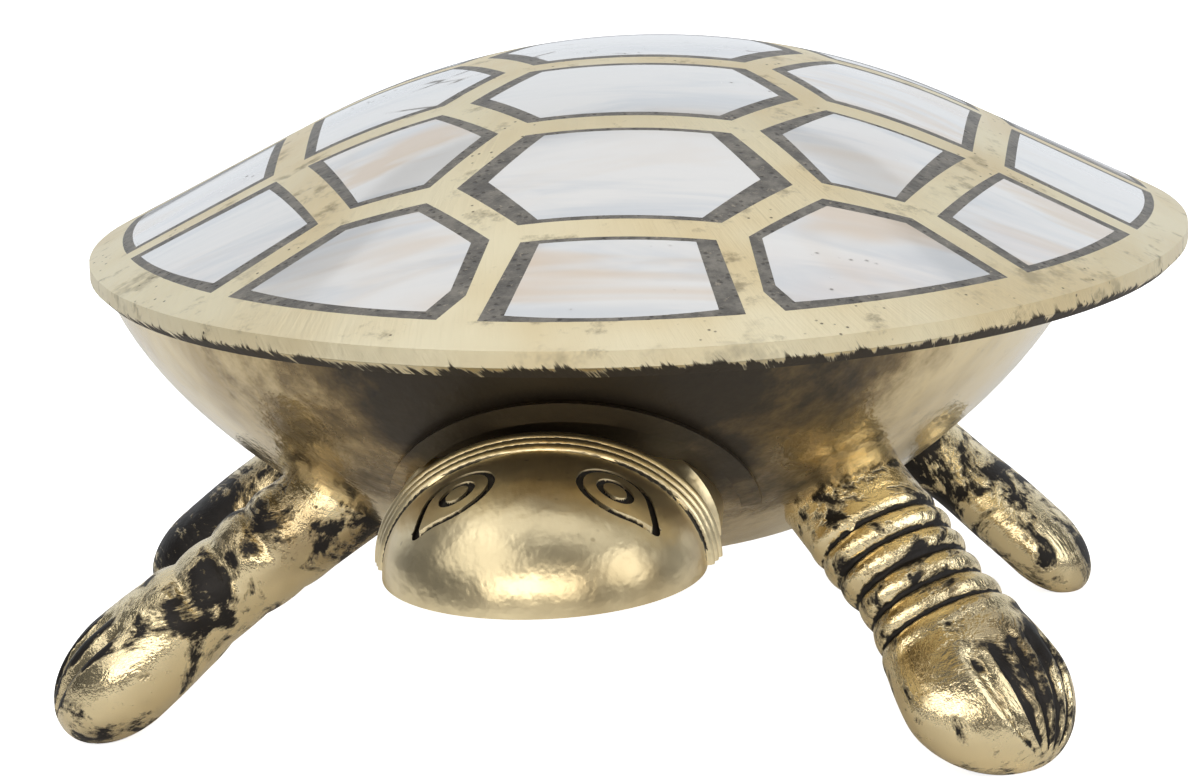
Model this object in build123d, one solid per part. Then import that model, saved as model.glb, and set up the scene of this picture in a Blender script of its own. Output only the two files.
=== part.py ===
from build123d import *
import math
import os

os.makedirs("parts", exist_ok=True)

# How far a cutting solid runs past the faces that it cuts
overrun = 3.0

# Height of the seam between bowl and lid over the surface that the turtle stands on
seam_height = 38.0

# Shell lid: an oval dome with a flat land under its rim, and a pierced web laid over it
shell_half_width = 50.0
shell_half_length = 66.4
crown_rise = 16.7
crown_slope = 26.3
rim_height = 2.2
rim_undercut = 0.9
rim_land_width = 7.6
shell_wall = 2.8
lid_shift = 3.8
lid_seat_gap = 0.2

# Inlay: the web of brass, the lac and the plates of pearl
web_width = 2.7
web_shift = 0.9
inlay_depth = 1.3
inlay_bed_gap = 0.02
pearl_edge_gap = 0.35

# Edge of the inlay and the corners of the web in its front right quarter, as shares of the
# shell's half width and half length. The neck and side corners lie past the edge, which cuts
# the cells off there
inlay_edge_share = 0.94
web_corner_shares = {
    "spine_1": (0.174, -0.737),
    "spine_2": (0.304, -0.6),
    "spine_3": (0.185, -0.464),
    "spine_4": (0.315, -0.322),
    "spine_5": (0.205, -0.19),
    "spine_6": (0.322, 0.0),
    "flank_1": (0.47, -0.594),
    "flank_2": (0.603, -0.331),
    "flank_3": (0.645, 0.0),
    "neck_1": (0.268, -1.048),
    "neck_2": (0.2, -0.87),
    "neck_3": (0.3, -0.98),
    "side_1": (0.81, -0.804),
    "side_2": (1.065, -0.413),
    "side_3": (1.1, 0.0),
}

# How much of its cell each plate fills across and along, as cut by hand
default_pearl_shares = (0.87, 0.9)
pearl_shares = {
    "pearl_centre_1": (0.8, 0.92),
    "pearl_centre_2": (0.81, 0.93),
    "pearl_centre_3": (0.88, 0.9),
    "pearl_inner_left_1": (0.84, 0.86),
    "pearl_inner_right_1": (0.88, 0.86),
    "pearl_inner_left_2": (0.83, 0.9),
    "pearl_inner_right_2": (0.78, 0.94),
    "pearl_outer_left_1": (0.88, 0.84),
    "pearl_outer_right_1": (0.84, 0.87),
}

# Bowl, with its rim at the seam. The point that bends its side is given as shares of the way
# from the rim to the belly, inwards and down
bowl_half_width = 45.0
bowl_half_length = 59.5
bowl_depth = 21.9
belly_half_width = 24.7
bowl_turn_shares = (0.18, 0.475)
bowl_wall = 2.2
bowl_floor = 2.4

# Head: half of a flattened egg that points forwards, with raised rings round its back edge
head_half_width = 13.2
head_height = 9.8
head_reach = 14.8
head_before_rim = 0.3
head_base_height = 22.4
head_across = -1.1
face_radius = 12.4
ring_count = 3
ring_width = 1.15
ring_proud = 0.4
neck_waist_share = 0.9
neck_waist_back = 3.0
neck_length = 22.0

# Engraved eyes: a drop shaped line with a ring in it
eye_spacing = 11.8
eye_forward = 5.6
eye_radius = 2.9
eye_point_reach = 2.9
eye_point_radius = 0.8
eye_turn = 30.0
pupil_radius = 1.4
engraving_width = 0.55
engraving_depth = 0.45

# Collar on the bowl round the neck
collar_half_width = 15.2
collar_height = 12.6
collar_band = 1.7
collar_proud = 0.8

# Front legs: from the shoulder at the bowl to the toes
shoulder_across = 21.0
shoulder_back = 24.5
shoulder_height = 22.0
front_leg_width = 10.8
front_leg_thickness = 9.0
front_foot_width = 14.4
front_foot_thickness = 10.0
front_left_toe = (-47.0, -29.5, 4.4)
front_right_toe = (38.0, -43.0, 4.4)

# Rear legs: flatter fins
hip_across = 21.5
hip_back = 24.0
hip_height = 20.0
rear_leg_width = 11.5
rear_leg_thickness = 7.2
rear_foot_width = 11.5
rear_foot_thickness = 6.8
rear_left_toe = (-49.0, 23.0, 3.1)
rear_right_toe = (46.5, 15.5, 3.1)

# Every leg: where the foot starts and is full, how far the leg runs into the bowl before it is
# cut off, and how deep the flat under the foot is filed
foot_start_share = 0.5
leg_root_run = 3.0
sole_filed = 0.5

# Tail: a small flattened cone under the hinge
tail_half_width = 6.0
tail_half_height = 3.6
tail_tip_radius = 1.6
tail_reach = 15.0
tail_inside_rim = 3.5
tail_height = 22.6
tail_root_length = 20.0

# Hinge at the tail: two knuckles on the bowl, one on the lid
hinge_behind_rim = 2.5
hinge_drop = 1.9
knuckle_radius = 1.6
knuckle_length = 5.0
knuckle_gap = 0.15
hinge_pin_radius = 0.8
hinge_pin_clearance = 0.05
hinge_pin_head_radius = 1.3
hinge_pin_head_length = 0.6
leaf_thickness = 1.0
leaf_depth = 8.0
lid_leaf_reach = 2.6

# Rivets, peened over inside the bowl
rivet_radius = 1.5
rivet_length = 8.0
rivet_head_radius = 2.7
rivet_head_height = 1.2
rivet_clearance = 0.04
rivet_lift = 1.2
leaf_rivet_radius = 0.7
leaf_rivet_head_radius = 1.1
leaf_rivet_head_height = 0.35
leaf_rivet_spacing = 10.0
leaf_rivet_drop = 6.0

# Places and ratios that follow from the sizes
lid_base = seam_height + lid_seat_gap
shell_stretch = shell_half_length / shell_half_width
hollow_half_width = shell_half_width - rim_undercut - rim_land_width
hinge_height = seam_height - hinge_drop
hinge_back = bowl_half_length + hinge_behind_rim
head_back = bowl_half_length + head_before_rim
tail_back = bowl_half_length - tail_inside_rim
belly_height = seam_height - bowl_depth
shell_place = Pos(lid_shift, 0, lid_base)
parts = {}


# Shell lid, worked out as a round dome and stretched to its oval at the end
def crown_lines(lowered):
    """A dome's outline from the middle to the rim: an arc, then a straight slope."""
    slope = math.radians(crown_slope)
    radius = (shell_half_width * math.tan(slope) - crown_rise) * math.cos(slope) / (1 - math.cos(slope))
    top = rim_height + crown_rise - lowered
    half = math.radians(crown_slope / 2)
    on_arc = [(radius * math.sin(turn), top - radius * (1 - math.cos(turn))) for turn in (0, half, slope)]
    return [ThreePointArc(*on_arc), Line(on_arc[-1], (shell_half_width, rim_height - lowered))]


def round_solid(lines):
    return revolve(make_face(Plane.XZ * (Curve() + lines)), axis=Axis.Z)


def stretched(shape, by_x, by_y, by_z, centre=(0, 0)):
    """The shape stretched along each axis, away from a centre."""
    move_x, move_y = centre[0] * (1 - by_x), centre[1] * (1 - by_y)
    rows = [[by_x, 0, 0, move_x], [0, by_y, 0, move_y], [0, 0, by_z, 0], [0, 0, 0, 1]]
    return shape.transform_geometry(Matrix(rows))


def to_oval(shape):
    return stretched(shape, 1, shell_stretch, 1)


def crown_band(depth):
    """The layer under the dome's surface down to a depth."""
    top, floor = crown_lines(0.0), crown_lines(depth)
    ends = [Line(top[-1] @ 1, floor[-1] @ 1), Line(floor[0] @ 0, top[0] @ 0)]
    return to_oval(round_solid(top + floor + ends))


def shell_base():
    """The plain dome that the web and the plates lie on."""
    top, hollow = crown_lines(inlay_depth), crown_lines(shell_wall)
    slope = math.tan(math.radians(crown_slope))
    land = (hollow_half_width, 0)
    hollow_edge = (hollow_half_width, rim_height - shell_wall + (shell_half_width - hollow_half_width) * slope)
    foot = (shell_half_width - rim_undercut, 0)
    lines = [Line(top[-1] @ 1, foot), Line(foot, land), Line(land, hollow_edge)]
    lines += [Line(hollow_edge, hollow[0] @ 1), hollow[0], Line(hollow[0] @ 0, top[0] @ 0)]
    return to_oval(round_solid(top + lines))


# Web cells and plates, drawn from above
def web_corner(name, side, end):
    x, y = web_corner_shares[name]
    return (web_shift + side * x * shell_half_width, end * y * shell_half_length)


def row_cells(row, side):
    """The outlines of the cells of one row, from the head to the tail."""
    turns = {
        "centre": (("neck_1", "spine_1"), ("spine_1", "spine_2", "spine_3"),
                   ("spine_3", "spine_4", "spine_5"), ("spine_5", "spine_6")),
        "inner": (("spine_1", "spine_2", "flank_1", "side_1", "neck_3", "neck_2"),
                  ("spine_2", "spine_3", "spine_4", "flank_2", "flank_1"),
                  ("spine_4", "spine_5", "spine_6", "flank_3", "flank_2")),
        "outer": (("flank_1", "flank_2", "side_2", "side_1"), ("flank_2", "flank_3", "side_3", "side_2")),
    }[row]
    cells = []
    if row == "centre":
        for names in turns[:3]:
            right = [web_corner(n, 1, 1) for n in names]
            cells.append(right + [web_corner(n, -1, 1) for n in reversed(names)])
        middle = [web_corner("spine_5", 1, 1), web_corner("spine_6", 1, 1), web_corner("spine_5", 1, -1)]
        cells.append(middle + [(2 * web_shift - x, y) for x, y in reversed(middle)])
        rear = [[(x, -y) for x, y in cell] for cell in cells[:3]]
        return cells + rear[::-1]
    for names in turns:
        cells.append([web_corner(n, side, 1) for n in names])
    return cells + [[(x, -y) for x, y in cell] for cell in reversed(cells)]


def cell_outlines(corners, shares):
    """The outlines of a cell and of the plate in it."""
    outline = make_face(Polyline(*corners, close=True))
    cell = Sketch() + (offset(outline, -web_width / 2, kind=Kind.INTERSECTION) & inlay_edge)
    room = offset(outline, -web_width / 2 - pearl_edge_gap, kind=Kind.INTERSECTION)
    centre = cell.center()
    plate = stretched(cell, *shares, 1, (centre.X, centre.Y)) & room
    return cell, plate


def prism(outline):
    return extrude(outline, amount=shell_half_width)


inlay_edge = Ellipse(shell_half_width * inlay_edge_share, shell_half_length * inlay_edge_share)
inlay_layer = crown_band(inlay_depth - inlay_bed_gap)
shell_web = inlay_layer
rows = (("centre", 1, "centre"), ("inner", -1, "inner_left"), ("inner", 1, "inner_right"),
        ("outer", -1, "outer_left"), ("outer", 1, "outer_right"))
for row, side, row_name in rows:
    beds = []
    for count, corners in enumerate(row_cells(row, side), start=1):
        name = f"pearl_{row_name}_{count}"
        cell, plate = cell_outlines(corners, pearl_shares.get(name, default_pearl_shares))
        cell_prism, plate_prism = prism(cell), prism(plate)
        parts[name] = shell_place * (plate_prism & inlay_layer)
        beds += ((cell_prism - plate_prism) & inlay_layer).solids()
        shell_web -= cell_prism
    parts[f"lac_{row_name}"] = shell_place * Compound(beds)
parts["shell_web"] = shell_place * shell_web
parts["shell_lid"] = shell_place * shell_base()


# Bowl
def bowl_side(grown, height):
    """The bowl's outline from the rim to its flat floor at a height, grown outwards by a thickness."""
    depth = seam_height - height
    inwards = bowl_half_width - belly_half_width
    turn_in, turn_down = bowl_turn_shares
    rim = (bowl_half_width + grown, seam_height)
    turn = (rim[0] - inwards * turn_in, seam_height - depth * turn_down)
    return Bezier(rim, turn, (belly_half_width + grown, height))


def bowl_stretched(lines):
    return stretched(round_solid(lines), 1, bowl_half_length / bowl_half_width, 1)


def bowl_form(grown=0.0, height=belly_height):
    side = bowl_side(grown, height)
    low, high = (0, height), (0, seam_height)
    return bowl_stretched([side, Line(side @ 1, low), Line(low, high), Line(high, side @ 0)])


bowl_solid = bowl_form()
outer_side = bowl_side(0.0, belly_height)
inner_side = bowl_side(-bowl_wall, belly_height + bowl_floor)
outer_low, inner_low = (0, belly_height), (0, belly_height + bowl_floor)
bowl = bowl_stretched([
    outer_side,
    inner_side,
    Line(outer_side @ 0, inner_side @ 0),
    Line(outer_side @ 1, outer_low),
    Line(outer_low, inner_low),
    Line(inner_low, inner_side @ 1),
])


# Head: half of a flattened egg that points along -Y, with rings and the neck behind it
def eye_lines(side):
    """The drop shaped line of one eye and the ring in it, seen from above the head."""
    point = Pos(eye_point_reach, 0) * Circle(eye_point_radius)
    drop = Sketch() + make_hull((Circle(eye_radius) + point).edges())
    line = drop - offset(drop, -engraving_width)
    pupil = Circle(pupil_radius) - Circle(pupil_radius - engraving_width)
    turned = Rot(0, 0, -eye_turn) * (line + pupil)
    turned = turned if side > 0 else mirror(turned, about=Plane.YZ)
    return Pos(side * eye_spacing / 2, -eye_forward) * turned


over_base = Box(*[4 * shell_half_width] * 3, align=(Align.CENTER, Align.CENTER, Align.MIN))
face_stretch = head_reach / face_radius
face = Sphere(face_radius) & over_base & (Pos(0, -shell_half_width, 0) * Box(*[2 * shell_half_width] * 3))
engraved = Sphere(face_radius) - Sphere(face_radius - engraving_depth)
for side in (-1, 1):
    lines = stretched(eye_lines(side), 1, 1 / face_stretch, 1)
    face -= extrude(lines, amount=face_radius) & engraved
face = stretched(face, 1, face_stretch, 1)
back = ring_count * ring_width
ring_step = (head_half_width - face_radius) / ring_count
ring_lines = []
for ring in range(ring_count):
    start = (face_radius + ring_step * ring, ring_width * ring)
    end = (face_radius + ring_step * (ring + 1), ring_width * (ring + 1))
    crest = ((start[0] + end[0]) / 2 + ring_proud, (start[1] + end[1]) / 2)
    ring_lines.append(ThreePointArc(start, crest, end))
neck_waist = (head_half_width * neck_waist_share, back + neck_waist_back)
neck_flare = (head_half_width, back + 2 * neck_waist_back)
neck_corner = (head_half_width, neck_length)
neck_lines = [
    ThreePointArc((head_half_width, back), neck_waist, neck_flare),
    Line(neck_flare, neck_corner),
    Line(neck_corner, (0, neck_length)),
    Line((0, neck_length), (0, 0)),
    Line((0, 0), (face_radius, 0)),
]
neck = revolve(make_face(Curve() + ring_lines + neck_lines), axis=Axis.Y) & over_base
head_place = Pos(head_across, -head_back, head_base_height)
head = stretched(face + neck, 1, 1, head_height / head_half_width)
head = head_place * head - bowl_solid

# Collar: a band that stands proud of the bowl in an arch round the neck
arch = Ellipse(collar_half_width, collar_height)
arch -= Ellipse(collar_half_width - collar_band, collar_height - collar_band)
arch_prism = extrude(Plane.XZ * arch, amount=bowl_half_length + overrun)
neck_collar = bowl_form(collar_proud) & (Pos(0, 0, head_base_height) * (arch_prism & over_base))
neck_collar = neck_collar - bowl_solid - head


# Legs
def limb(root, toe, leg_size, foot_size):
    """A straight leg from inside the bowl to its rounded foot."""
    start, end = Vector(*root), Vector(*toe)
    length = (end - start).length
    leg_half, foot_half = leg_size[0] / 2, foot_size[0] / 2
    top, bulge = (leg_half, -leg_root_run), (leg_half, length * foot_start_share)
    ball = (foot_half, length - foot_half)
    tip = (0, length)
    lines = [
        Line(top, bulge),
        Bezier(bulge, (leg_half, (bulge[1] + ball[1]) / 2), (foot_half, (bulge[1] + ball[1]) / 2), ball),
        RadiusArc(ball, tip, -foot_half),
        Line(tip, (0, top[1])),
        Line((0, top[1]), top),
    ]
    along = (end - start).normalized()
    round_leg = stretched(round_solid(lines), 1, foot_size[1] / foot_size[0], 1)
    return Plane(start, x_dir=along.cross(Vector(0, 0, 1)), z_dir=along) * round_leg


ground = Box(*[4 * shell_half_width] * 3, align=(Align.CENTER, Align.CENTER, Align.MAX))
front_sizes = ((front_leg_width, front_leg_thickness), (front_foot_width, front_foot_thickness))
rear_sizes = ((rear_leg_width, rear_leg_thickness), (rear_foot_width, rear_foot_thickness))
shoulder = (shoulder_across, -shoulder_back, shoulder_height)
hip = (hip_across, hip_back, hip_height)
limbs = {
    "front_left_leg": ((-shoulder[0], *shoulder[1:]), front_left_toe, *front_sizes),
    "front_right_leg": (shoulder, front_right_toe, *front_sizes),
    "rear_left_leg": ((-hip[0], *hip[1:]), rear_left_toe, *rear_sizes),
    "rear_right_leg": (hip, rear_right_toe, *rear_sizes),
}
rivet_lines = {}
for name, shape in limbs.items():
    root, toe, *sizes = shape
    sole = limb(*shape).bounding_box(optimal=True).min.Z
    toe = (*toe[:2], toe[2] - sole - sole_filed)
    parts[name] = limb(root, toe, *sizes) - bowl_solid - ground
    course = Vector(*toe) - Vector(*root)
    rivet_lines[name] = (Vector(*root) + Vector(0, 0, rivet_lift), course)

# Tail
tail_tip = tail_reach - tail_tip_radius
tail_end = (0, tail_reach)
tail_lines = [
    Line((tail_half_width, -tail_root_length), (tail_half_width, 0)),
    Line((tail_half_width, 0), (tail_tip_radius, tail_tip)),
    Bezier((tail_tip_radius, tail_tip), (tail_tip_radius, tail_reach), tail_end),
    Line(tail_end, (0, -tail_root_length)),
    Line((0, -tail_root_length), (tail_half_width, -tail_root_length)),
]
tail = revolve(make_face(Curve() + tail_lines), axis=Axis.Y)
tail = stretched(tail, 1, 1, tail_half_height / tail_half_width)
tail = Pos(0, tail_back, tail_height) * tail - bowl_solid

# Rivets that hold the legs, the head and the tail to the bowl
bowl_room = bowl_form(-bowl_wall, belly_height + bowl_floor)
rivet_lines["head"] = (Vector(head_across, 0, head_base_height + head_height / 2), Vector(0, -1, 0))
rivet_lines["tail"] = (Vector(0, 0, tail_height), Vector(0, 1, 0))
rivets = {}
for name, (point, course) in rivet_lines.items():
    axis = course.normalized()
    inside = Line(point - axis * bowl_half_width / 2, point + axis * bowl_half_length) & bowl_room
    seat = inside.vertices().sort_by_distance(point + axis * 2 * bowl_half_length)[0]
    seat_place = Plane(Vector(seat.X, seat.Y, seat.Z), z_dir=axis)
    shank = extrude(seat_place * Circle(rivet_radius), amount=rivet_length)
    hole = extrude(seat_place * Circle(rivet_radius + rivet_clearance), amount=rivet_length, both=True)
    dome = extrude(seat_place * Circle(rivet_head_radius), amount=rivet_head_height, both=True)
    rivets[name] = shank + (dome & bowl_room)
    bowl -= hole
    if name in parts:
        parts[name] -= hole
    elif name == "head":
        head -= hole
    else:
        tail -= hole

# Hinge at the tail
hinge_place = Pos(0, hinge_back, hinge_height) * Rot(0, 90, 0)
span = knuckle_length + knuckle_gap
leaf_half_width = span + knuckle_length / 2
lid_foot = Box(knuckle_length, knuckle_radius + lid_leaf_reach, hinge_drop + lid_seat_gap,
               align=(Align.CENTER, Align.MAX, Align.MIN))
lid_foot = Pos(0, hinge_back + lid_leaf_reach, hinge_height) * lid_foot
leaf_block = Box(2 * leaf_half_width, bowl_half_length, leaf_depth,
                 align=(Align.CENTER, Align.MIN, Align.MAX))
leaf_block = Pos(0, 0, hinge_height + knuckle_radius) * leaf_block
bowl_leaf = bowl_form(leaf_thickness) & leaf_block
hinge_lid_leaf = lid_foot + hinge_place * Cylinder(knuckle_radius, knuckle_length)
for side in (-1, 1):
    arm = Box(knuckle_length, hinge_back, knuckle_radius + hinge_pin_radius,
              align=(Align.CENTER, Align.MAX, Align.MAX))
    bowl_leaf += Pos(side * span, hinge_back, hinge_height) * arm
    bowl_leaf += Pos(side * span, 0, 0) * hinge_place * Cylinder(knuckle_radius, knuckle_length)
pin_hole = hinge_place * Cylinder(hinge_pin_radius + hinge_pin_clearance, 4 * leaf_half_width)
hinge_pin = Cylinder(hinge_pin_radius, 2 * (leaf_half_width + hinge_pin_clearance))
for side in (-1, 1):
    head_at = side * (leaf_half_width + hinge_pin_clearance + hinge_pin_head_length / 2)
    hinge_pin += Pos(0, 0, head_at) * Cylinder(hinge_pin_head_radius, hinge_pin_head_length)
bowl_leaf = bowl_leaf - bowl_solid - pin_hole
hinge_lid_leaf -= pin_hole
leaf_rivets = []
for side in (-1, 1):
    point = Vector(side * leaf_rivet_spacing / 2, 0, seam_height - leaf_rivet_drop)
    inside = Line(point, point + Vector(0, 1, 0) * 2 * bowl_half_length)
    inner = (inside & bowl_room).vertices().sort_by(Axis.Y)[-1]
    outer = (inside & bowl_form(leaf_thickness)).vertices().sort_by(Axis.Y)[-1]
    rivet = Part()
    for seat, way in ((inner, -1), (outer, 1)):
        at = Plane(Vector(seat.X, seat.Y, seat.Z), z_dir=Vector(0, way, 0))
        button = extrude(at * Circle(leaf_rivet_head_radius), amount=leaf_rivet_head_height, both=True)
        shank = extrude(at * Circle(leaf_rivet_radius), amount=-(outer.Y - inner.Y) / 2)
        hole = extrude(at * Circle(leaf_rivet_radius + rivet_clearance), amount=-(outer.Y - inner.Y) / 2)
        bowl -= hole
        bowl_leaf -= hole
        button = button & bowl_room if way < 0 else button
        bowl_leaf -= button
        rivet += shank + button
    leaf_rivets.append(rivet.solid())

parts.update({
    "bowl": bowl,
    "head": head,
    "neck_collar": neck_collar,
    "tail": tail,
    "hinge_bowl_leaf": bowl_leaf,
    "hinge_lid_leaf": hinge_lid_leaf,
    "hinge_pin": hinge_place * hinge_pin,
    "leg_rivets": Compound([rivets[name].solid() for name in limbs]),
    "head_rivet": rivets["head"],
    "tail_rivet": rivets["tail"],
    "leaf_rivets": Compound(leaf_rivets),
})

# Stand the turtle with the middle of its box over the origin
box = Compound([solid for shape in parts.values() for solid in shape.solids()]).bounding_box()
middle = Pos(-box.center().X, -box.center().Y, 0)
for name, shape in parts.items():
    export_step(middle * shape, f"parts/{name}.step")
print("middle moved by", -box.center().X, -box.center().Y)
print("hinge axis at y", hinge_back - box.center().Y, "z", hinge_height)
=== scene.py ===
import bpy
import bmesh
import math
from mathutils import Matrix, Vector
from mathutils.bvhtree import BVHTree


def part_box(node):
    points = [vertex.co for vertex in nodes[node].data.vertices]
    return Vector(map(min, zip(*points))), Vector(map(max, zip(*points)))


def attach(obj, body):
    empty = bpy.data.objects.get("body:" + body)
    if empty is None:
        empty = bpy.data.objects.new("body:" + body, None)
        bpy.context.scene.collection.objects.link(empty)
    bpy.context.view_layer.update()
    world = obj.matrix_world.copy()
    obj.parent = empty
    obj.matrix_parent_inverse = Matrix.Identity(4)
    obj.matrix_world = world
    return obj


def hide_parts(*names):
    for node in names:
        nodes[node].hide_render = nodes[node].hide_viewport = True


# Turtle trinket box: brass castings, a shell lid inlaid with plates of mother of pearl

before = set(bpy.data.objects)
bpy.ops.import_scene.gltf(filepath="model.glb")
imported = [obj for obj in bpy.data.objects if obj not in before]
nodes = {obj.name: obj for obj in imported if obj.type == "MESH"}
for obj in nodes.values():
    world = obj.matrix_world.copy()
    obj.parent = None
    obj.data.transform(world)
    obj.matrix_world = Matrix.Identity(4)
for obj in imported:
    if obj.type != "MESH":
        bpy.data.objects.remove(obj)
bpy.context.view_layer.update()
lidLow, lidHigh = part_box("shell_lid")
bowlLow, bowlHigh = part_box("bowl")
lidMiddle = Vector(((lidLow.x + lidHigh.x) / 2, (lidLow.y + lidHigh.y) / 2, lidLow.z))
bowlMiddle = Vector(((bowlLow.x + bowlHigh.x) / 2, (bowlLow.y + bowlHigh.y) / 2, bowlHigh.z))
print("frame loaded")


# A shader value that can be used in Python expressions
class Sock:
    def __init__(self, mat, out):
        self.mat, self.out = mat, out

    def math(self, kind, other):
        return self.mat.node("ShaderNodeMath", {"operation": kind}, {0: self, 1: other})

    def __add__(self, other):
        return self.math("ADD", other)

    def __radd__(self, other):
        return self.math("ADD", other)

    def __sub__(self, other):
        return self.math("SUBTRACT", other)

    def __rsub__(self, other):
        return (self * -1) + other

    def __mul__(self, other):
        return self.math("MULTIPLY", other)

    def __rmul__(self, other):
        return self.math("MULTIPLY", other)

    # 0 below low, 1 above high, smooth between them
    def ramp(self, low, high):
        settings = {"interpolation_type": "SMOOTHSTEP"}
        return self.mat.node("ShaderNodeMapRange", settings, {0: self, 1: low, 2: high, 3: 0.0, 4: 1.0})


shaderInputs = {"color": "Base Color", "rough": "Roughness", "metal": "Metallic", "coat": "Coat Weight",
                "coatRough": "Coat Roughness", "normal": "Normal", "glow": "Emission Color",
                "glowStrength": "Emission Strength"}


# A material whose nodes are made one by one
class Mat:
    def __init__(self, name):
        self.material = bpy.data.materials.new(name)
        self.material.use_nodes = True
        self.tree = self.material.node_tree
        self.shader = self.tree.nodes["Principled BSDF"]
        self.place = Sock(self, self.tree.nodes.new("ShaderNodeTexCoord").outputs["Object"])

    def node(self, kind, settings, inputs, out=0):
        made = self.tree.nodes.new(kind)
        for key, value in settings.items():
            setattr(made, key, value)
        for key, value in inputs.items():
            if isinstance(value, Sock):
                self.tree.links.new(value.out, made.inputs[key])
            else:
                made.inputs[key].default_value = value
        return Sock(self, made.outputs[out])

    def mix(self, share, first, second):
        four = [c if isinstance(c, Sock) else (*c, 1.0) for c in (first, second)]
        return self.node("ShaderNodeMix", {"data_type": "RGBA"}, {0: share, 6: four[0], 7: four[1]}, 2)

    def noise(self, scale, detail=2.0, rough=0.5, place=None, distort=0.0):
        inputs = {"Vector": place or self.place, "Scale": scale, "Detail": detail,
                  "Roughness": rough, "Distortion": distort}
        return self.node("ShaderNodeTexNoise", {}, inputs)

    def cells(self, scale, feature="F1", place=None):
        inputs = {"Vector": place or self.place, "Scale": scale}
        return self.node("ShaderNodeTexVoronoi", {"feature": feature}, inputs)

    # Coordinates turned and stretched, for streaks and scratches
    def squeezed(self, turn, stretch):
        return self.node("ShaderNodeMapping", {}, {"Vector": self.place, "Rotation": turn, "Scale": stretch})

    def part(self, axis):
        return self.node("ShaderNodeSeparateXYZ", {}, {"Vector": self.place}, axis)

    def pointiness(self):
        return self.node("ShaderNodeNewGeometry", {}, {}, "Pointiness")

    def bump(self, height, look):
        inputs = {"Height": height, "Strength": look["bump"], "Distance": look["bumpDepth"]}
        return self.node("ShaderNodeBump", {}, inputs)

    def use(self, **inputs):
        for key, value in inputs.items():
            socket = self.shader.inputs[shaderInputs[key]]
            if isinstance(value, Sock):
                self.tree.links.new(value.out, socket)
            else:
                socket.default_value = (*value, 1.0) if isinstance(value, tuple) else value
        return self.material


# Brass of the web and the rim: pale, ground to a satin, with painted shade of the gap along the foot of the
# rim. The scales are in cells per metre, the heights of the marks and of the painted shade in metres over the
# foot of the rim, their shares in half widths of the lid
satin = {
    "pale": (0.88, 0.79, 0.55), "warm": (0.78, 0.64, 0.38), "dirtAndGapShade": (0.035, 0.026, 0.016),
    "roughness": 0.34, "bump": 0.28, "bumpDepth": 0.0006,
    "cloudScale": 60, "lineScale": 900, "crossLineScale": 1200, "pitScale": 900,
    "grimeScale": 260, "grime": 0.5, "stainScale": 48, "stain": 0.4, "pits": 0.85,
    "marksAround": 26, "marksSlant": 260, "marksUp": 60, "marksScale": 2.4, "marksBlack": 0.8,
    "marksFrom": 0.0009, "marksTo": 0.0019, "gapShadeFrom": 0.0002, "gapShadeTo": 0.0014,
    "edgeFrom": 0.93, "edgeTo": 0.96,
}


def satinBrass(name):
    mat = Mat(name)
    grime = mat.noise(satin["grimeScale"], 5, 0.65).ramp(0.56, 0.72)
    cloud = mat.noise(satin["cloudScale"], 3)
    pits = 1 - mat.cells(satin["pitScale"]).ramp(0.05, 0.16)
    pitMask = mat.noise(120, 2).ramp(0.52, 0.6)
    lines = mat.noise(satin["lineScale"], 2, 0.6, mat.squeezed((0, 0, 0.5), (1.0, 0.06, 0.3)))
    crossLines = mat.noise(satin["crossLineScale"], 2, 0.6, mat.squeezed((0, 0, -0.7), (1.0, 0.05, 0.3)))
    stain = mat.noise(satin["stainScale"], 6, 0.68).ramp(0.55, 0.66) * mat.noise(420, 3, 0.7).ramp(0.42, 0.6)
    dark = grime * satin["grime"] + stain * satin["stain"] + pits * pitMask * satin["pits"]
    dark = dark.math("MINIMUM", 1.0)
    height = lines * 0.4 + crossLines * 0.3 - dark * 0.6 + cloud * 0.6
    # The lower edge of the rim: filed on the slant, with black left in the marks, and painted shade of the gap
    # under the rim along its foot
    up = mat.part(2)
    slant = mat.part(1).math("ARCTAN2", mat.part(0)) * satin["marksAround"] + up * satin["marksSlant"]
    strip = mat.node("ShaderNodeCombineXYZ", {}, {0: slant, 1: up * satin["marksUp"], 2: 0.0})
    marks = mat.noise(satin["marksScale"], 4, 0.7, strip)
    # Darker towards the foot of the rim: painted shade of the gap under the rim
    low = 1 - up.ramp(lidMiddle.z + satin["gapShadeFrom"], lidMiddle.z + satin["gapShadeTo"])
    band = 1 - up.ramp(lidMiddle.z + satin["marksFrom"], lidMiddle.z + satin["marksTo"])
    across = (mat.part(0) - lidMiddle.x) * (2 / (lidHigh.x - lidLow.x))
    lengthwise = (mat.part(1) - lidMiddle.y) * (2 / (lidHigh.y - lidLow.y))
    outside = (across * across + lengthwise * lengthwise).ramp(satin["edgeFrom"], satin["edgeTo"])
    # Black left in the filing marks, and painted shade of the gap along the foot of the rim
    black = (marks + mat.noise(30, 3) * 0.8 + low * 0.3).ramp(1.0, 1.1) * band * outside
    dark = dark.math("MAXIMUM", black)
    height = height - black * satin["marksBlack"] + marks * 0.6
    color = mat.mix(cloud.ramp(0.3, 0.7), satin["pale"], satin["warm"])
    # The dirt colour takes dirt, stains, pits, black marks and the painted gap shade
    color = mat.mix(dark, color, satin["dirtAndGapShade"])
    rough = mat.noise(90, 3) * 0.18 + lines * 0.14 + dark * 0.35 + (satin["roughness"] - 0.14)
    return mat.use(color=color, rough=rough, metal=1 - dark * 0.75, normal=mat.bump(height, satin))
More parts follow.
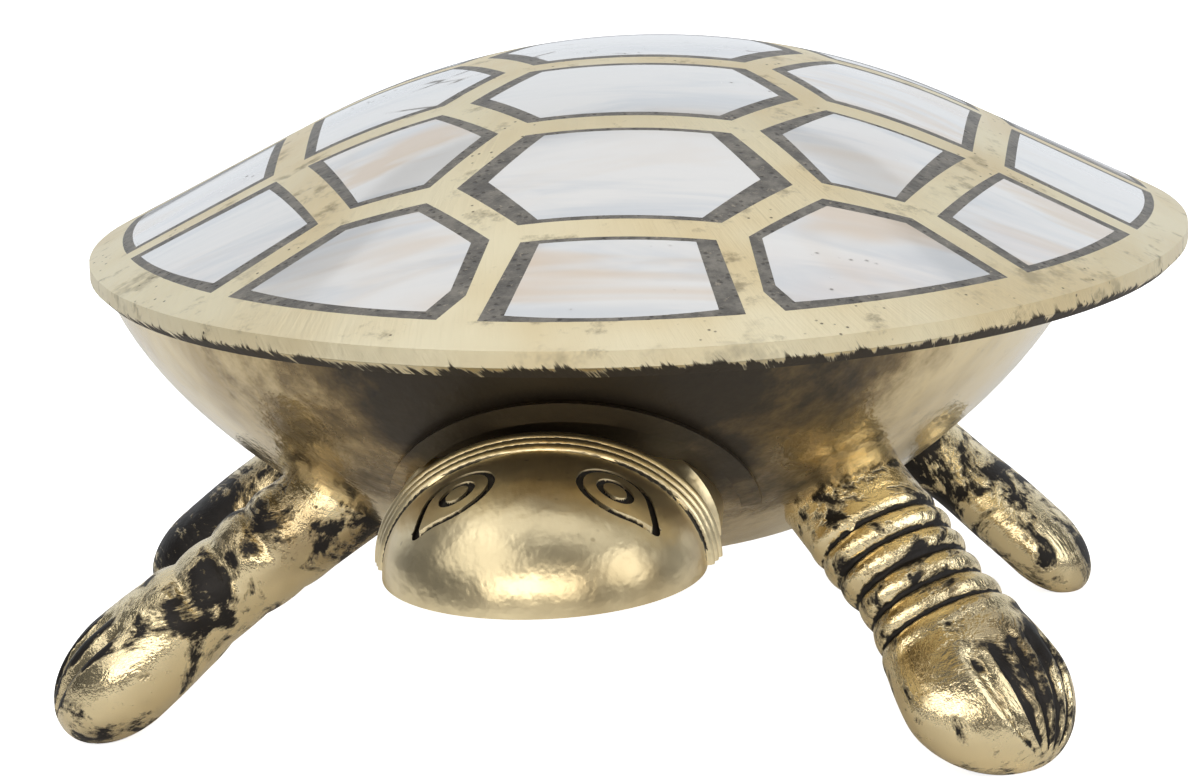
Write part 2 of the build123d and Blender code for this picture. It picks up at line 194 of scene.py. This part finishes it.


# Brass of the bowl, the head and the fittings: polished, with tarnish where a cloth doesn't
# reach. The bowl has painted shade round the neck, a black patch whose reach is in metres
polish = {
    "gold": (0.86, 0.72, 0.44), "tarnish": (0.34, 0.24, 0.11), "black": (0.02, 0.015, 0.01),
    "bump": 0.3, "bumpDepth": 0.0012, "cloudScale": 38, "fineScale": 420, "scratchScale": 700,
    "crossScratchScale": 900, "spotScale": 520, "blackScale": 85, "shadeEdgeScale": 60, "shadeRagged": 0.05,
}
# Painted shade round the neck: its centre, and the reach over which it fades, in metres
neckShade = {"at": (bowlMiddle.x + 0.002, bowlLow.y + 0.006, bowlHigh.z - 0.004),
            "near": 0.019, "far": 0.036}


def polishedBrass(name, hollows, blackness, roughness, paintedShade=None):
    mat = Mat(name)
    cloud = mat.noise(polish["cloudScale"], 4, 0.55, distort=0.4)
    fine = mat.noise(polish["fineScale"], 4, 0.6)
    scratches = mat.noise(polish["scratchScale"], 2, 0.6, mat.squeezed((0.3, 0.2, 0.9), (1.0, 0.05, 1.0)))
    crossScratches = mat.noise(polish["crossScratchScale"], 2, 0.6,
                               mat.squeezed((0.1, -0.4, -0.5), (1.0, 0.04, 1.0)))
    spots = (1 - mat.cells(polish["spotScale"]).ramp(0.04, 0.14)) * mat.noise(70, 2).ramp(0.5, 0.62)
    tarnishAndShade = cloud.ramp(0.5, 0.72) * 0.75 + spots * 0.5
    black = mat.noise(polish["blackScale"], 5, 0.7).ramp(0.6, 0.72) * blackness
    if hollows:
        black = black + (1 - mat.pointiness().ramp(0.5 - hollows, 0.5 - hollows / 8))
    black = black.math("MINIMUM", 1.0)
    # Painted shade round the neck, where the head meets the bowl under the lid: tarnish, then black, growing
    # towards the neck
    if paintedShade:
        ends = {0: mat.place, 1: paintedShade["at"]}
        away = mat.node("ShaderNodeVectorMath", {"operation": "DISTANCE"}, ends, "Value")
        away = away + (mat.noise(polish["shadeEdgeScale"], 6, 0.68) - 0.5) * polish["shadeRagged"]
        tarnishAndShade = tarnishAndShade.math("MAXIMUM", 1 - away.ramp(paintedShade["near"], paintedShade["far"]))
        black = black + (1 - away.ramp(paintedShade["near"] * 0.7, paintedShade["far"] * 0.78)) * 0.95
        black = black.math("MINIMUM", 1.0)
    color = mat.mix(tarnishAndShade, polish["gold"], polish["tarnish"])
    color = mat.mix(black, color, polish["black"])
    rough = cloud * 0.08 + fine * 0.08 + scratches * 0.1 + black * 0.35 + (roughness - 0.08)
    height = cloud * 1.2 + fine * 0.16 + scratches * 0.18 + crossScratches * 0.12 - black * 0.2
    return mat.use(color=color, rough=rough, metal=1 - black * 0.7, normal=mat.bump(height, polish))


# Brass of the legs: cast, bright on the high spots, black between them
patina = {
    "gold": (0.86, 0.72, 0.44), "brown": (0.20, 0.125, 0.05), "black": (0.013, 0.010, 0.008),
    "bump": 0.42, "bumpDepth": 0.0011, "patchScale": 130, "fineScale": 520, "gritScale": 1500,
    "brownScale": 75, "roughness": 0.08,
}


def patinaBrass(name, blackness):
    mat = Mat(name)
    patch = mat.noise(patina["patchScale"], 6, 0.72, distort=0.8)
    fine = mat.noise(patina["fineScale"], 4, 0.7)
    grit = mat.noise(patina["gritScale"], 2, 0.6)
    point = mat.pointiness()
    hollow = (1 - point.ramp(0.44, 0.505)) * 0.9
    black = (patch * 1.1 + fine * 0.35 + hollow * 0.35 + (blackness - 1.12)).ramp(0.0, 0.1)
    black = black.math("MAXIMUM", (1 - point.ramp(0.4, 0.47)) * 0.9)
    brown = mat.noise(patina["brownScale"], 3).ramp(0.48, 0.7) * 0.7
    color = mat.mix(brown, patina["gold"], patina["brown"])
    color = mat.mix(black, color, patina["black"])
    rough = fine * 0.3 + black * 0.28 + patina["roughness"]
    height = patch * 0.7 + fine * 0.25 + grit * 0.05 - black * 0.5
    return mat.use(color=color, rough=rough, metal=1 - black * 0.6, normal=mat.bump(height, patina))


# Mother of pearl: a white gloss with streaks, bands of faint colour and a few dark cracks. Each
# kind is the turn of its streaks in radians, the share of warm bands, and how worn it is
pearl = {
    "white": (0.76, 0.76, 0.75), "cool": (0.52, 0.57, 0.63), "warm": (0.66, 0.52, 0.37),
    "pink": (0.68, 0.59, 0.56), "crack": (0.09, 0.075, 0.06),
    "roughness": 0.14, "coatRoughness": 0.08, "bump": 0.2, "bumpDepth": 0.0006,
    "streakScale": 170, "streaks": 0.65, "bandScale": 85, "pinkScale": 45, "pinkShare": 0.35,
    "crackScale": 150, "crackWidth": 0.035, "cracksFromWorn": 0.5, "pitScale": 800,
}
pearlKinds = ((0.1, 0.15, 0.1), (0.9, 0.75, 0.2), (-0.5, 0.3, 0.2),
              (1.5, 0.5, 0.1), (0.35, 0.85, 0.4), (-1.0, 0.2, 1.0))


def pearlShell(name, turn, warmth, worn):
    mat = Mat(name)
    streakPlace = mat.squeezed((0, 0, turn), (0.22, 1.0, 0.5))
    streaks = mat.noise(pearl["streakScale"], 4, 0.6, streakPlace, 0.6)
    bands = mat.noise(pearl["bandScale"], 3, 0.55, streakPlace, 1.2)
    broad = mat.noise(pearl["pinkScale"], 2, 0.5)
    color = mat.mix(streaks.ramp(0.42, 0.68) * pearl["streaks"], pearl["white"], pearl["cool"])
    color = mat.mix(bands.ramp(0.48, 0.64) * warmth, color, pearl["warm"])
    color = mat.mix(broad.ramp(0.56, 0.72) * pearl["pinkShare"], color, pearl["pink"])
    flaws = 1 - mat.cells(pearl["pitScale"]).ramp(0.05, 0.2)
    flaws = flaws * mat.noise(90, 3, 0.6).ramp(0.64 - worn * 0.1, 0.68 - worn * 0.08)
    if worn > pearl["cracksFromWorn"]:
        edges = mat.cells(pearl["crackScale"], "DISTANCE_TO_EDGE", mat.squeezed((0, 0, turn), (0.5, 1.0, 1.0)))
        cracked = mat.noise(110, 3).ramp(0.66 - worn * 0.12, 0.7 - worn * 0.1)
        flaws = flaws + (1 - edges.ramp(0.0, pearl["crackWidth"])) * cracked
    flaws = flaws.math("MINIMUM", 1.0)
    color = mat.mix(flaws * 0.85, color, pearl["crack"])
    rough = streaks * 0.16 + flaws * 0.4 + pearl["roughness"]
    height = streaks * 0.3 + mat.noise(40, 2) * 0.8 - flaws * 0.7 + mat.noise(700, 2) * 0.06
    return mat.use(color=color, rough=rough, metal=0.0, coat=1 - flaws * 0.8,
                   coatRough=pearl["coatRoughness"], normal=mat.bump(height, pearl))


# Lac: grey brown, speckled, ground flush
lac = {
    "dark": (0.085, 0.078, 0.066), "grey": (0.22, 0.205, 0.175), "speck": (0.40, 0.35, 0.27),
    "pit": (0.02, 0.017, 0.014), "roughness": 0.32, "bump": 0.45, "bumpDepth": 0.0006,
    "grainScale": 520, "speckScale": 1500, "specks": 0.6, "pitScale": 1300, "pits": 0.6,
}


def lacFiller(name):
    mat = Mat(name)
    grain = mat.noise(lac["grainScale"], 5, 0.7)
    specks = mat.noise(lac["speckScale"], 3, 0.7).ramp(0.6, 0.7)
    pits = 1 - mat.cells(lac["pitScale"]).ramp(0.1, 0.3)
    color = mat.mix(grain.ramp(0.35, 0.68), lac["dark"], lac["grey"])
    color = mat.mix(specks * lac["specks"], color, lac["speck"])
    color = mat.mix(pits * lac["pits"], color, lac["pit"])
    height = grain * 0.7 - pits * 0.8 + specks * 0.2
    return mat.use(color=color, rough=grain * 0.3 + lac["roughness"], metal=0.0, coat=0.0,
                   normal=mat.bump(height, lac))


webBrass = satinBrass("web_brass")
rimBrass = satinBrass("rim_brass")
bowlBrass = polishedBrass("bowl_brass", hollows=0.0, blackness=0.2, roughness=0.1, paintedShade=neckShade)
headBrass = polishedBrass("head_brass", hollows=0.02, blackness=0.2, roughness=0.28)
fittingBrass = polishedBrass("fitting_brass", hollows=0.0, blackness=0.25, roughness=0.16)
legBrass = patinaBrass("leg_brass", blackness=0.38)
darkLegBrass = patinaBrass("dark_leg_brass", blackness=0.46)
pearlMats = [pearlShell(f"pearl_{number}", *kind) for number, kind in enumerate(pearlKinds)]
lacMat = lacFiller("lac")
print("materials made")


# What each piece is made of. A plate that isn't named takes one of the first kinds in turn
pearlChoice = {
    "pearl_centre_1": 4, "pearl_centre_2": 0, "pearl_centre_3": 0, "pearl_centre_4": 5,
    "pearl_inner_left_1": 3, "pearl_inner_left_2": 4, "pearl_inner_left_3": 5,
    "pearl_inner_right_1": 1, "pearl_inner_right_2": 2,
    "pearl_outer_left_1": 0, "pearl_outer_right_1": 1,
}
pearlTurns = 5
looks = {
    "shell_web": webBrass, "shell_lid": rimBrass, "bowl": bowlBrass, "neck_collar": bowlBrass,
    "head": headBrass, "tail": headBrass,
    **dict.fromkeys(("hinge_bowl_leaf", "hinge_lid_leaf", "hinge_pin", "leg_rivets", "head_rivet",
                     "tail_rivet", "leaf_rivets"), fittingBrass),
}


def dress(obj, material):
    obj.data.materials.clear()
    obj.data.materials.append(material)
    for face in obj.data.polygons:
        face.material_index = 0


for index, (name, obj) in enumerate(sorted(nodes.items())):
    if name.startswith("pearl"):
        dress(obj, pearlMats[pearlChoice.get(name, index % pearlTurns)])
    elif name.startswith("lac"):
        dress(obj, lacMat)
    elif name in looks:
        dress(obj, looks[name])
print("frame dressed")


# Legs: each follows its CAD leg from the bowl to the toes, with ribs, toes and a filed sole.
# Lengths are in metres. Places along a leg are shares of its length
legShape = {
    "rings": 130, "sides": 88, "ringCrowding": 1.35, "toeHeight": 0.0024, "toeBack": 0.0004,
    "filed": 0.0005, "seekFrom": 0.7, "rootDepth": 0.001, "blunt": 0.0004,
    "footFrom": 0.42, "footOver": 0.4, "waist": 0.07, "waistAt": 0.5, "waistOver": 0.12,
    "ribsFrom": 0.2, "ribsOver": 0.46, "ribProud": 0.0006, "ribSwell": 1.6, "ribPower": 0.7,
    "ribMiddle": 0.6, "ribFade": 6, "ribBelow": 0.35,
    "toesFrom": 0.66, "toeGap": 0.34, "toeSpread": 4.4, "toeFadeFrom": 0.7, "toeFadeOver": 0.08,
    "grooveDepth": 0.0009, "grooveWidth": 0.0672, "grooveSides": 0.25,
}
frontLeg = {"width": 0.0108, "thick": 0.0090, "footWidth": 0.0144, "footThick": 0.0100, "bend": 0.0008}
rearLeg = {"width": 0.0115, "thick": 0.0072, "footWidth": 0.0115, "footThick": 0.0068, "bend": 0.0010,
           "ribs": 0, "ribShare": 0.0, "toes": 0, "inner": 0.0, "mat": darkLegBrass}
legs = {
    "front_left_leg": {**frontLeg, "root": (-0.0190, -0.0245, 0.0220), "toe": (-0.0470, -0.0295),
                       "ribs": 4, "ribShare": 0.6, "toes": 4, "inner": 0.0, "mat": legBrass},
    "front_right_leg": {**frontLeg, "root": (0.0210, -0.0245, 0.0220), "toe": (0.0380, -0.0430),
                        "ribs": 6, "ribShare": 1.0, "toes": 5, "inner": 0.36, "mat": legBrass},
    "rear_left_leg": {**rearLeg, "root": (-0.0215, 0.0240, 0.0200), "toe": (-0.0490, 0.0230)},
    "rear_right_leg": {**rearLeg, "root": (0.0215, 0.0240, 0.0200), "toe": (0.0465, 0.0155)},
}
bowlNode = nodes["bowl"]
bowlTree = BVHTree.FromPolygons([bowlNode.matrix_world @ vert.co for vert in bowlNode.data.vertices],
                                [tuple(face.vertices) for face in bowlNode.data.polygons])


def smooth(x):
    x = min(max(x, 0.0), 1.0)
    return x * x * (3 - 2 * x)


# How far the ribs stand out of the leg at t, from the middle between rib and groove
def ribHeight(leg, t):
    phase = (t - legShape["ribsFrom"]) / legShape["ribsOver"]
    if not leg["ribs"] or not 0 < phase < 1:
        return 0.0
    wave = abs(math.sin(math.pi * leg["ribs"] * phase)) ** legShape["ribPower"]
    wave = wave - legShape["ribMiddle"]
    fade = smooth(phase * legShape["ribFade"]) * smooth((1 - phase) * legShape["ribFade"])
    return wave * leg["ribShare"] * fade


# How deep the grooves between the toes are, at x across the foot, on its side cy and at t
def toeGroove(leg, x, cy, t, halfWidth):
    fan = x / halfWidth
    groove = 0.0
    for toe in range(leg["toes"]):
        place = (toe - (leg["toes"] - 1) / 2) * legShape["toeGap"] * (legShape["toeSpread"] / leg["toes"])
        groove = max(groove, math.exp(-((fan - place) / legShape["grooveWidth"]) ** 2))
    fade = smooth((t - legShape["toeFadeFrom"]) / legShape["toeFadeOver"]) * smooth((1.0 - t) / 0.05 + 0.15)
    return legShape["grooveDepth"] * groove * fade * smooth((cy + 0.05) / 0.35)


def legMesh(name, leg):
    shift = Vector((bowlMiddle.x, bowlMiddle.y, 0))
    start = Vector(leg["root"]) + shift
    end = Vector((*leg["toe"], legShape["toeHeight"])) + shift
    along = (end - start).normalized()
    length = (end - start).length - legShape["toeBack"]
    across = along.cross(Vector((0, 0, 1))).normalized() * -1
    top = across.cross(along).normalized()
    if top.z < 0:
        top, across = -top, -across
    sides = legShape["sides"]
    bm = bmesh.new()
    bmesh.ops.create_cone(bm, cap_ends=True, cap_tris=True, segments=sides, radius1=1, radius2=1, depth=1)
    lengthwise = [edge for edge in bm.edges if abs(edge.verts[0].co.z - edge.verts[1].co.z) > 0.5]
    bmesh.ops.subdivide_edges(bm, edges=lengthwise, cuts=legShape["rings"], use_grid_fill=True)

    def sideOf(vert):
        return round(math.atan2(vert.co.y, vert.co.x) * sides / math.tau) % sides

    # The side of the leg that faces the head can be wider than the other one
    def wider(cx):
        return 1 + leg["inner"] * smooth(cx / 0.5)

    # Each line along the leg starts inside the bowl's wall and not past it
    roots = {}
    for vert in bm.verts:
        if vert.co.z < -0.49 and vert.co.xy.length > 0.5:
            origin = start + along * (length * legShape["seekFrom"])
            origin = origin + across * (vert.co.x * wider(vert.co.x) * leg["width"] / 2)
            origin = origin + top * (vert.co.y * leg["thick"] / 2)
            reach = bowlTree.ray_cast(origin, -along)[3]
            roots[sideOf(vert)] = legShape["seekFrom"] - (reach + legShape["rootDepth"]) / length
    middle = sum(roots.values()) / len(roots)

    footHalf = leg["footWidth"] / 2
    ballAt = 1 - footHalf / length
    shares = []
    for vert in bm.verts:
        u = vert.co.z + 0.5
        radius, angle = math.hypot(vert.co.x, vert.co.y), math.atan2(vert.co.y, vert.co.x)
        first = roots[sideOf(vert)] if radius > 0.5 else middle
        t = first + (1 - first) * (1 - (1 - u) ** legShape["ringCrowding"])
        foot = smooth((t - legShape["footFrom"]) / legShape["footOver"])
        width = leg["width"] + (leg["footWidth"] - leg["width"]) * foot
        thick = leg["thick"] + (leg["footThick"] - leg["thick"]) * foot
        waist = 1 - legShape["waist"] * math.exp(-((t - legShape["waistAt"]) / legShape["waistOver"]) ** 2)
        roundness = 1.0
        if t > ballAt:
            roundness = math.sqrt(max(1 - ((t - ballAt) / (1 - ballAt)) ** 2, legShape["blunt"]))
        cx, cy = math.cos(angle) * radius, math.sin(angle) * radius
        onTop = legShape["ribBelow"] + (1 - legShape["ribBelow"]) * smooth((cy + 0.25) / 0.7)
        proud = legShape["ribProud"] / (width / 2) * onTop * legShape["ribSwell"]
        swell = 1 + ribHeight(leg, t) * proud
        x = cx * wider(cx) * width / 2 * roundness * waist * swell
        y = cy * thick / 2 * roundness * waist * swell
        if leg["toes"] and t > legShape["toesFrom"]:
            groove = toeGroove(leg, x, cy, t, footHalf * max(roundness, 0.35))
            y -= groove * (0.4 + 0.6 * cy)
            x -= groove * legShape["grooveSides"] * cx
        centre = start + along * (length * t)
        centre.z += leg["bend"] * math.sin(math.pi * min(max(t, 0), 1))
        vert.co = centre + across * x + top * y
        shares.append(min(max(t, 0.0), 1.0))
    sink = min(vert.co.z for vert in bm.verts) + legShape["filed"]
    for vert, share in zip(bm.verts, shares):
        vert.co.z = max(vert.co.z - sink * share, 0.0)
    bmesh.ops.recalc_face_normals(bm, faces=bm.faces)
    for face in bm.faces:
        face.smooth = True
    mesh = bpy.data.meshes.new(name + "_cast")
    bm.to_mesh(mesh)
    bm.free()
    obj = bpy.data.objects.new(name + "_cast", mesh)
    bpy.context.scene.collection.objects.link(obj)
    obj.data.materials.append(leg["mat"])
    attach(obj, "base")
    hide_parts(name)
    print(name, "made")


for name, leg in legs.items():
    legMesh(name, leg)

# Floor: pale, and plain white where the camera sees it
floorLook = {"color": (0.93, 0.93, 0.93), "roughness": 0.6, "seen": 0.85, "size": 3.0}
floorMat = Mat("floor")
seen = floorMat.node("ShaderNodeLightPath", {}, {}, "Is Camera Ray")
floorMat.use(color=floorLook["color"], rough=floorLook["roughness"], metal=0.0,
             glow=floorMat.mix(seen, (0.0, 0.0, 0.0), (1.0, 1.0, 1.0)), glowStrength=floorLook["seen"])
floorMesh = bpy.data.meshes.new("floor")
bm = bmesh.new()
bmesh.ops.create_grid(bm, x_segments=1, y_segments=1, size=floorLook["size"])
bm.to_mesh(floorMesh)
bm.free()
floor = bpy.data.objects.new("floor", floorMesh)
bpy.context.scene.collection.objects.link(floor)
floorMesh.materials.append(floorMat.material)
print("floor made")

# Surroundings: white to the camera, a dim grey room to the brass
backdrop = {"room": (0.42, 0.43, 0.46), "roomStrength": 0.25, "white": (1, 1, 1), "whiteStrength": 1.1}
world = bpy.data.worlds.new("studio")
bpy.context.scene.world = world
world.use_nodes = True
tree = world.node_tree
tree.nodes.clear()
path = tree.nodes.new("ShaderNodeLightPath")
chosen = tree.nodes.new("ShaderNodeMixShader")
final = tree.nodes.new("ShaderNodeOutputWorld")
tree.links.new(path.outputs["Is Camera Ray"], chosen.inputs[0])
for socket, kind in ((1, "room"), (2, "white")):
    light = tree.nodes.new("ShaderNodeBackground")
    light.inputs[0].default_value = (*backdrop[kind], 1)
    light.inputs[1].default_value = backdrop[kind + "Strength"]
    tree.links.new(light.outputs[0], chosen.inputs[socket])
tree.links.new(chosen.outputs[0], final.inputs[0])

# Lamps: places and sizes in metres, powers in watts
lampsAim = (0, 0, 0.03)
lamps = {
    "top": {"at": (0.0, 0.28, 0.80), "size": (1.3, 0.9), "power": 3.3, "color": (0.97, 0.98, 1.0)},
    "key": {"at": (-0.42, -0.22, 0.58), "size": (0.6, 0.5), "power": 1.0, "color": (1.0, 0.99, 0.97)},
    "front": {"at": (-0.02, -0.70, 0.40), "size": (1.1, 0.36), "power": 3.4, "color": (1.0, 0.96, 0.90)},
    "right": {"at": (0.60, -0.15, 0.35), "size": (0.4, 0.45), "power": 1.3, "color": (0.95, 0.97, 1.0)},
    "back": {"at": (0.0, 0.9, 0.32), "size": (2.2, 0.6), "power": 3.2, "color": (0.92, 0.96, 1.0)},
}
for name, lamp in lamps.items():
    data = bpy.data.lights.new(name, "AREA")
    data.shape = "RECTANGLE"
    data.size, data.size_y = lamp["size"]
    data.energy = lamp["power"]
    data.color = lamp["color"]
    obj = bpy.data.objects.new(name, data)
    bpy.context.scene.collection.objects.link(obj)
    obj.location = lamp["at"]
    obj.rotation_euler = (Vector(lampsAim) - Vector(lamp["at"])).to_track_quat("-Z", "Y").to_euler()
print("lamps made")

# Camera: angles in degrees, lens in millimetres, lengths in metres, target from the lid's foot
view = {"azimuth": 3.875, "elevation": 11.285, "roll": -1.934, "distance": 0.30517, "lens": 97.03,
        "sensor": 36, "clip": 0.01, "target": (-0.004326, 0.000247, -0.014117)}
azimuth, elevation, roll = (math.radians(view[key]) for key in ("azimuth", "elevation", "roll"))
back = Vector((math.sin(azimuth) * math.cos(elevation), -math.cos(azimuth) * math.cos(elevation),
               math.sin(elevation)))
level = Vector((math.cos(azimuth), math.sin(azimuth), 0))
upright = back.cross(level)
right = level * math.cos(roll) + upright * math.sin(roll)
up = upright * math.cos(roll) - level * math.sin(roll)
cameraData = bpy.data.cameras.new("photo_view")
cameraData.lens = view["lens"]
cameraData.sensor_width = view["sensor"]
cameraData.clip_start = view["clip"]
camera = bpy.data.objects.new("photo_view", cameraData)
bpy.context.scene.collection.objects.link(camera)
position = lidMiddle + Vector(view["target"]) + back * view["distance"]
camera.matrix_world = Matrix((
    (right.x, up.x, back.x, position.x),
    (right.y, up.y, back.y, position.y),
    (right.z, up.z, back.z, position.z),
    (0, 0, 0, 1)))
bpy.context.scene.camera = camera
bpy.context.scene.view_settings.view_transform = "Standard"
bpy.context.scene.view_settings.exposure = 0.0
print("camera set")
